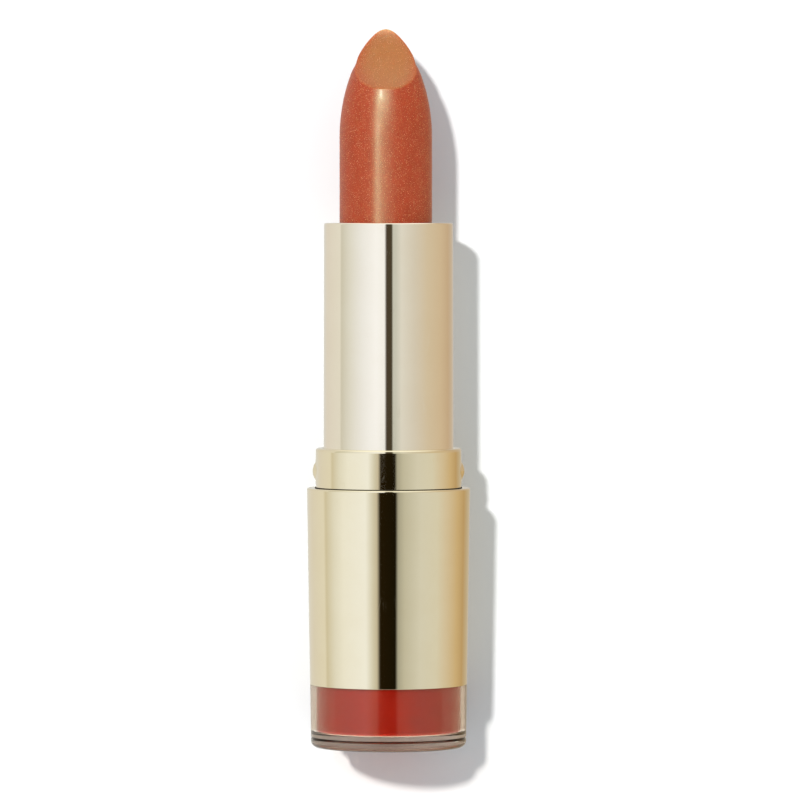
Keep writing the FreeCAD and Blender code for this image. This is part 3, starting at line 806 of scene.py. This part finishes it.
# %% Base sleeve
sleeve_low, sleeve_high, sleeve_radius = levels("base_sleeve")
_, spigot_high, window_radius = levels("clear_base")
SLEEVE_BORE = 9.8
SLEEVE_MOUTH = 9.68
SLEEVE_RIM = 0.2
SLEEVE_DROP = 0.3
SLEEVE_LIP = 1.0
sleeve = turned_piece("base_sleeve_shell", [
    (SLEEVE_BORE, sleeve_low, 0.05),
    (window_radius, sleeve_low, 0.06),
    (sleeve_radius, sleeve_high - SLEEVE_DROP, SLEEVE_RIM),
    (SLEEVE_MOUTH, sleeve_high - SLEEVE_DROP, 0.16),
    (SLEEVE_MOUTH, sleeve_high - SLEEVE_LIP, 0.05),
    (SLEEVE_BORE, sleeve_high - SLEEVE_LIP, 0),
], base_gold, steps=384)
place(sleeve, "base", "base_sleeve", "base_gold")

# %% [markdown]
# The gap between the rim and the collar holds a dark ring of painted shade, which draws the shadow in the
# seam as a thin dark line. It is a low turned ring, a hair narrower than the gap at its top, so only a thin
# dark line shows.

# %% Painted shade ring in the seam
SHADE_RING_INSIDE = 9.45
SHADE_RING_OUTSIDE = 9.68
SHADE_RING_TOP_OUTSIDE = 9.64
SHADE_RING_DEPTH = 0.4
SHADE_RING_DROP = 0.2
shade_ring_high = sleeve_high - SHADE_RING_DROP
# A dark ring set in the seam as painted shade, standing in for the shadow there.
seam = turned_piece("seam_shade_ring", [
    (SHADE_RING_INSIDE, sleeve_high - SHADE_RING_DEPTH, 0),
    (SHADE_RING_OUTSIDE, sleeve_high - SHADE_RING_DEPTH, 0),
    (SHADE_RING_TOP_OUTSIDE, shade_ring_high, 0.05),
    (SHADE_RING_INSIDE, shade_ring_high, 0),
], soft_rubber, steps=256)
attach(seam, "base")

# %% [markdown]
# ## Collar with its detents
#
# The collar is a plain turned ring, and the two detents are pressed out from inside. So the ring is turned
# with a fine mesh on its outer wall, and each point near a detent is pushed out to the surface of a small
# sphere, with a little blend at its foot as the metal stretches.

# %% Collar
collar_low, collar_high, collar_radius = levels("collar")
detent_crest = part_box("collar")[1].x / MM
COLLAR_WALL = 0.35
COLLAR_MOUTH = 8.6
COLLAR_ROUND = 0.32
COLLAR_DRAFT = 0.004
DETENT_LEVEL = 36.2
DETENT_SPHERE = 1.85
DETENT_BLEND = 0.25
DETENT_BAND = 6
WALL_ROWS = 70
WALL_SLACK = 0.01
wall_top = collar_high - COLLAR_ROUND


def drafted_radius(level):
    """The collar widens very slightly upwards, as a pressed ring does."""
    return collar_radius - COLLAR_DRAFT * (collar_high - level)


band_height = wall_top - collar_high + DETENT_BAND
wall_levels = [collar_high - DETENT_BAND + band_height * row / WALL_ROWS for row in range(WALL_ROWS)]
collar = turned_piece("collar_ring", [
    (collar_radius - COLLAR_WALL, collar_low, 0),
    (drafted_radius(collar_low), collar_low, 0.05),
    *[(drafted_radius(level), level, 0) for level in wall_levels],
    (collar_radius, collar_high, COLLAR_ROUND),
    (COLLAR_MOUTH, collar_high, 0.12),
    (COLLAR_MOUTH, collar_high - COLLAR_WALL, 0),
    (collar_radius - COLLAR_WALL, collar_high - COLLAR_WALL, 0.1),
], base_gold, steps=512)


def press_detents(piece):
    """Push the outer wall out to two small spheres, one on each side."""
    for vertex in piece.data.vertices:
        x, y, z = vertex.co / MM
        radius = math.hypot(x, y)
        if radius < drafted_radius(z) - WALL_SLACK or z > wall_top:
            continue
        side = math.copysign(1, x)
        aside = radius * math.asin(max(-1.0, min(1.0, y / radius)))
        off = math.hypot(aside, z - DETENT_LEVEL)
        centre = detent_crest - DETENT_SPHERE
        if x * side <= 0 or off >= DETENT_SPHERE:
            continue
        sphere = centre + math.sqrt(DETENT_SPHERE ** 2 - off ** 2)
        gap = sphere - collar_radius
        raised = collar_radius + (gap + math.sqrt(gap ** 2 + DETENT_BLEND ** 2 / 4)) / 2
        raised = min(raised, detent_crest)
        vertex.co.x *= raised / radius
        vertex.co.y *= raised / radius


press_detents(collar)
place(collar, "base", "collar", "base_gold")
print("detents stand out", round(detent_crest - collar_radius, 2), "mm")

# %% [markdown]
# ## Clear base and what it shows
#
# The clear base is a thick-bottomed cup whose spigot is glued up into the sleeve. Inside it sits a thin cup
# in the colour of the stick, with a hair of air around it, and a plain disc of the same shade is stuck in the
# shallow recess underneath. All three are turned, and the clear wall is left a real solid so that it bends
# the light: the bright and dark lines above the foot are the inner and outer faces of its floor. A real
# groove runs round the foot, and the thin dark line there is painted shade in the clear plastic's tint.

# %% Clear base, shade cup and label
WINDOW_BORE = 9.48
FOOT_RADIUS = 10.17
FOOT_CORNER = 0.85
FLOOR_TOP = 2.0
LINE_LEVEL = FOOT_LINE / MM
LINE_HALF = 0.13
LINE_DEPTH = 0.15
FLARE_BELOW = 0.02
FLARE_ABOVE = 0.024
RECESS_RADIUS = 8.2
RECESS_DEPTH = 0.5
SPIGOT_RADIUS = 9.75
window = turned_piece("clear_window", [
    (0, RECESS_DEPTH, 0),
    (RECESS_RADIUS, RECESS_DEPTH, 0.1),
    (RECESS_RADIUS, 0, 0.08),
    (FOOT_RADIUS, 0, FOOT_CORNER),
    (FOOT_RADIUS + FLARE_BELOW, LINE_LEVEL - LINE_HALF, 0),
    (FOOT_RADIUS - LINE_DEPTH, LINE_LEVEL, 0),
    (FOOT_RADIUS + FLARE_ABOVE, LINE_LEVEL + LINE_HALF, 0),
    (window_radius, sleeve_low, 0),
    (SPIGOT_RADIUS, sleeve_low, 0.05),
    (SPIGOT_RADIUS, spigot_high, 0.1),
    (WINDOW_BORE, spigot_high, 0.1),
    (WINDOW_BORE, FLOOR_TOP, 0.25),
    (0, FLOOR_TOP, 0),
], clear_plastic, closed=False, steps=256)
place(window, "base", "clear_base", "clear_plastic")

insert_low, insert_high, _ = levels("shade_insert")
INSERT_AIR = 0.03
INSERT_LIFT = 0.02
INSERT_WALL = 0.6
insert_radius = WINDOW_BORE - INSERT_AIR
insert = turned_piece("shade_cup", [
    (0, insert_low + INSERT_LIFT, 0),
    (insert_radius, insert_low + INSERT_LIFT, 0.35),
    (insert_radius, insert_high, 0.1),
    (insert_radius - INSERT_WALL, insert_high, 0.1),
    (insert_radius - INSERT_WALL, insert_low + INSERT_WALL, 0.3),
    (0, insert_low + INSERT_WALL, 0),
], shade_plastic, closed=False, steps=256)
place(insert, "base", "shade_insert", "shade_plastic")

label_low, label_high, label_radius = levels("bottom_label")
LABEL_AIR = 0.01
label = turned_piece("foot_label", [
    (0, label_low, 0),
    (label_radius, label_low, 0.05),
    (label_radius, label_high - LABEL_AIR, 0.05),
    (0, label_high - LABEL_AIR, 0),
], shade_paper, closed=False, steps=192)
place(label, "base", "bottom_label", "shade_label")

# %% [markdown]
# ## The stick
#
# The stick's nose follows a rule. The straight side runs into an arc, the arc into a straight taper, and one
# slightly hollow slanted face takes off the front. The second tree makes that from its sizes: each row is a
# circle, and the face turns it into a circle with one flat side. Every row is drawn round the middle of
# what is left of it, so the rows close neatly at the tip. The flat and the round meet in a soft edge,
# because wax from a mould is never quite sharp, and a faint waist runs round where the face ends. Like most
# sticks it sits a little off centre in its cup.


# %% Nose tree
# Shares of the rows where the flat foot ends, the arc springs and the arc runs into the taper.
ROWS_TO_SIDE = 0.01
ROWS_TO_SPRING = 0.12
ROWS_TO_TAPER = 0.55
SMALLEST_SINE = 0.0001


def make_nose():
    tree, given, result = geometry_tree("nose", [
        ("Radius", "Float", 0.006), ("Arch", "Float", 0.0236), ("Taper Angle", "Float", 0.398),
        ("Foot", "Float", 0.067), ("Spring", "Float", 0.080), ("Tip", "Float", 0.0942),
        ("Face Cross", "Float", 0.0905), ("Face Lean", "Float", 0.857), ("Face Curve", "Float", -80.0),
        ("Edge Softness", "Float", 0.0003), ("Waist", "Float", 0.0001), ("Waist Level", "Float", 0.0894),
        ("Waist Reach", "Float", 0.0007), ("Steps", "Int", 288), ("Rows", "Int", 250),
        ("Finish", "Material", None)])

    def times(first, second):
        return calc(tree, "MULTIPLY", first, second)

    def minus(first, second):
        return calc(tree, "SUBTRACT", first, second)

    def share(first, last):
        """How far the row is between two places on the way up, from 0 to 1."""
        return calc(tree, "DIVIDE", minus(height, first), last - first, clamp=True)

    grid = add(tree, "GeometryNodeMeshGrid", Size_X=1.0, Size_Y=1.0,
               Vertices_X=calc(tree, "ADD", given["Steps"], 1.0), Vertices_Y=given["Rows"])
    spot = add(tree, "GeometryNodeInputPosition").outputs[0]
    across, along, _ = add(tree, "ShaderNodeSeparateXYZ", Vector=spot).outputs
    angle = times(calc(tree, "ADD", across, 0.5), FULL_TURN)
    height = calc(tree, "ADD", along, 0.5)
    swing = times(share(ROWS_TO_SPRING, ROWS_TO_TAPER), given["Taper Angle"])
    offset = minus(given["Arch"], given["Radius"])
    side_share = share(ROWS_TO_SIDE, ROWS_TO_SPRING)
    side = calc(tree, "MULTIPLY_ADD", side_share, minus(given["Spring"], given["Foot"]), given["Foot"])
    taper_sine = calc(tree, "SINE", given["Taper Angle"])
    bend_top = calc(tree, "MULTIPLY_ADD", given["Arch"], taper_sine, given["Spring"])
    rise = times(share(ROWS_TO_TAPER, 1.0), minus(given["Tip"], bend_top))
    arched = calc(tree, "MULTIPLY_ADD", given["Arch"], calc(tree, "SINE", swing), side)
    level = calc(tree, "ADD", arched, rise)
    round_part = minus(times(given["Arch"], calc(tree, "COSINE", swing)), offset)
    tapered = minus(round_part, times(rise, calc(tree, "TANGENT", given["Taper Angle"])))
    away = calc(tree, "DIVIDE", minus(level, given["Waist Level"]), given["Waist Reach"])
    dip = times(given["Waist"], calc(tree, "EXPONENT", times(times(away, away), -1.0)))
    radius = times(minus(tapered, dip), share(0.0, ROWS_TO_SIDE))
    above = minus(level, given["Face Cross"])
    flat = times(above, calc(tree, "MULTIPLY_ADD", above, given["Face Curve"], given["Face Lean"]))
    flat = calc(tree, "MAXIMUM", flat, times(radius, -1.0))
    middle = times(calc(tree, "ADD", flat, radius), 0.5)
    cosine, sine = calc(tree, "COSINE", angle), calc(tree, "SINE", angle)
    offside = times(middle, cosine)
    inside = calc(tree, "MAXIMUM", minus(times(radius, radius), times(offside, offside)), 0.0)
    to_round = minus(calc(tree, "SQRT", inside), times(middle, sine))
    facing = calc(tree, "MAXIMUM", times(sine, -1.0), SMALLEST_SINE)
    to_flat = calc(tree, "DIVIDE", minus(middle, flat), facing)
    softness = calc(tree, "MINIMUM", given["Edge Softness"], minus(radius, middle))
    reach = calc(tree, "MAXIMUM", calc(tree, "SMOOTH_MIN", to_round, to_flat, softness), 0.0)
    bent = add(tree, "ShaderNodeCombineXYZ", X=times(reach, cosine),
               Y=calc(tree, "ADD", middle, times(reach, sine)), Z=level)
    moved = add(tree, "GeometryNodeSetPosition", Geometry=grid.outputs["Mesh"], Position=bent.outputs[0])
    joined = add(tree, "GeometryNodeMergeByDistance", Geometry=moved.outputs[0], Distance=MERGE_DISTANCE)
    smooth = add(tree, "GeometryNodeSetShadeSmooth", Geometry=joined.outputs[0])
    finish_tree(tree, smooth.outputs[0], given["Finish"], result)
    return tree


# %% Stick
_, stick_high, stick_radius = levels("bullet")
_, cup_high, _ = levels("bullet_cup")
NOSE_LEVEL = 79.95
NOSE_ARC = 23.6
TAPER_DEGREES = 23.25
EDGE_SOFTNESS = 0.4
OFF_CENTRE = -0.36
STICK_LIFT = 0.02
WAIST_DEPTH = 0.11
WAIST_LEVEL = 89.45
WAIST_REACH = 0.65
TIP_SEARCH = 8
HALVINGS = 50


def tip_level():
    """The level where the hollow face meets the back of the taper."""
    taper = math.radians(TAPER_DEGREES)
    bend_top = NOSE_LEVEL + NOSE_ARC * math.sin(taper)
    bend_radius = stick_radius - NOSE_ARC * (1 - math.cos(taper))
    low, high = bend_top, bend_top + TIP_SEARCH
    for _ in range(HALVINGS):
        level = (low + high) / 2
        above = level - FACE_CROSS
        face = above * (FACE_LEAN + FACE_CURVE * above)
        back = bend_radius - (level - bend_top) * math.tan(taper)
        low, high = (level, high) if back > face else (low, level)
    return level


stick = made_by(make_nose(), "wax_stick", bpy.data.meshes.new("seed"),
                Radius=stick_radius * MM, Arch=NOSE_ARC * MM, Taper_Angle=math.radians(TAPER_DEGREES),
                Foot=(cup_high + STICK_LIFT) * MM, Spring=NOSE_LEVEL * MM, Tip=tip_level() * MM,
                Face_Cross=FACE_CROSS * MM, Face_Lean=FACE_LEAN, Face_Curve=FACE_CURVE / MM,
                Edge_Softness=EDGE_SOFTNESS * MM, Waist=WAIST_DEPTH * MM,
                Waist_Level=WAIST_LEVEL * MM, Waist_Reach=WAIST_REACH * MM, Finish=stick_wax)
for vertex in stick.data.vertices:
    vertex.co.x += OFF_CENTRE * MM
report(stick)
print("tip at", round(tip_level(), 2), "mm; the case ends at", round(stick_high, 2))
place(stick, "carrier", "bullet", "stick_wax")

# %% [markdown]
# Two narrow lamps beside the camera draw the long soft sheen down the stick and the glint below its face.
# They shine on the wax alone, as narrow cards held close to it would, and add gloss but no light of their
# own.

# %% Sheen lamps
# Each lamp is the direction it comes from, its strength, its width in degrees and its colour.
WAX_LAMPS = {
    "sheen": (Vector((-0.25, -1.0, 0.10)), 1.65, 10, (1.0, 0.93, 0.84)),
    "glint": (Vector((-0.15, -1.0, 0.55)), 2.6, 4, (1.0, 0.97, 0.95)),
}
wax_only = bpy.data.collections.new("wax_only")
wax_only.objects.link(stick)
for lamp_name, (source, strength, width_degrees, colour) in WAX_LAMPS.items():
    lamp_data = bpy.data.lights.new(lamp_name, "SUN")
    lamp_data.energy = strength
    lamp_data.angle = math.radians(width_degrees)
    lamp_data.color = colour
    lamp = bpy.data.objects.new(lamp_name, lamp_data)
    lamp.rotation_euler = (-source).to_track_quat("-Z", "Y").to_euler()
    lamp.visible_diffuse = False
    bpy.context.scene.collection.objects.link(lamp)
    lamp.light_linking.receiver_collection = wax_only
print("wax lamps:", ", ".join(WAX_LAMPS))

# %% [markdown]
# ## Golden flakes
#
# The larger grains of the pearl are real flakes, about a tenth of a millimetre across at most, lying in the
# skin of the wax. Each is tipped its own way, so that it catches the light or not. Scattering is what
# Geometry Nodes do best: points spread evenly over the surface, a tiny five-sided plate on each, a random
# tilt and size.


# %% Flake tree
FLAKE_TILT = 0.45
FLAKE_SPIN = 3.1
SMALLEST_FLAKE = 0.45
LARGEST_FLAKE = 1.5
SIZE_SEED_STEP = 7.0


def make_flakes():
    tree, given, result = geometry_tree("flakes", [
        ("Density", "Float", 4e6), ("Spacing", "Float", 0.00025), ("Size", "Float", 0.00006),
        ("Thickness", "Float", 0.00002), ("Seed", "Int", 4), ("Finish", "Material", None)])
    scatter = add(tree, "GeometryNodeDistributePointsOnFaces", {"distribute_method": "POISSON"},
                  Mesh=given["Geometry"], Distance_Min=given["Spacing"], Density_Max=given["Density"],
                  Seed=given["Seed"])
    plate = add(tree, "GeometryNodeMeshCylinder", {"fill_type": "NGON"}, Vertices=5, Side_Segments=1,
                Radius=given["Size"], Depth=given["Thickness"])
    tilt = add(tree, "FunctionNodeRandomValue", {"data_type": "FLOAT_VECTOR"}, Seed=given["Seed"])
    tilt.inputs["Min"].default_value = (-FLAKE_TILT, -FLAKE_TILT, -FLAKE_SPIN)
    tilt.inputs["Max"].default_value = (FLAKE_TILT, FLAKE_TILT, FLAKE_SPIN)
    size_seed = calc(tree, "ADD", given["Seed"], SIZE_SEED_STEP)
    size = add(tree, "FunctionNodeRandomValue", {"data_type": "FLOAT"}, Seed=size_seed)
    size.inputs[2].default_value = SMALLEST_FLAKE
    size.inputs[3].default_value = LARGEST_FLAKE
    spread = add(tree, "GeometryNodeInstanceOnPoints", Points=scatter.outputs["Points"],
                 Instance=plate.outputs["Mesh"], Rotation=scatter.outputs["Rotation"], Scale=size.outputs[1])
    tilted = add(tree, "GeometryNodeRotateInstances", Instances=spread.outputs[0], Rotation=tilt.outputs[0])
    finish_tree(tree, tilted.outputs[0], given["Finish"], result)
    return tree


# %% Flakes
FLAKE_SKIRT = 0.4
source = stick.data.copy()
form = bmesh.new()
form.from_mesh(source)
buried = [face for face in form.faces if face.calc_center_median().z < (cup_high + FLAKE_SKIRT) * MM]
bmesh.ops.delete(form, geom=buried, context="FACES")
form.to_mesh(source)
form.free()
flakes = made_by(make_flakes(), "wax_flakes", source, Density=1.6e7, Spacing=0.00018, Size=0.00004,
                 Thickness=0.000016, Seed=4, Finish=golden_flake)
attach(flakes, "carrier")
report(flakes)

# %% [markdown]
# ## The mechanism
#
# The mouldings inside are already right in the frame: slotted guide, spiral sleeve with its two grooves,
# bearing, core, carrier cup and brake ring. They keep their shapes and get their own finishes.

# %% Mechanism finishes
MECHANISM = {
    "guide_tube": natural_plastic,
    "spiral_sleeve": natural_plastic,
    "bearing_ring": natural_plastic,
    "base_core": natural_plastic,
    "bullet_cup": carrier_plastic,
    "brake_ring": soft_rubber,
}
for node, finish in MECHANISM.items():
    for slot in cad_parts[node].material_slots:
        slot.material = finish
    print(node, "gets", finish.name)
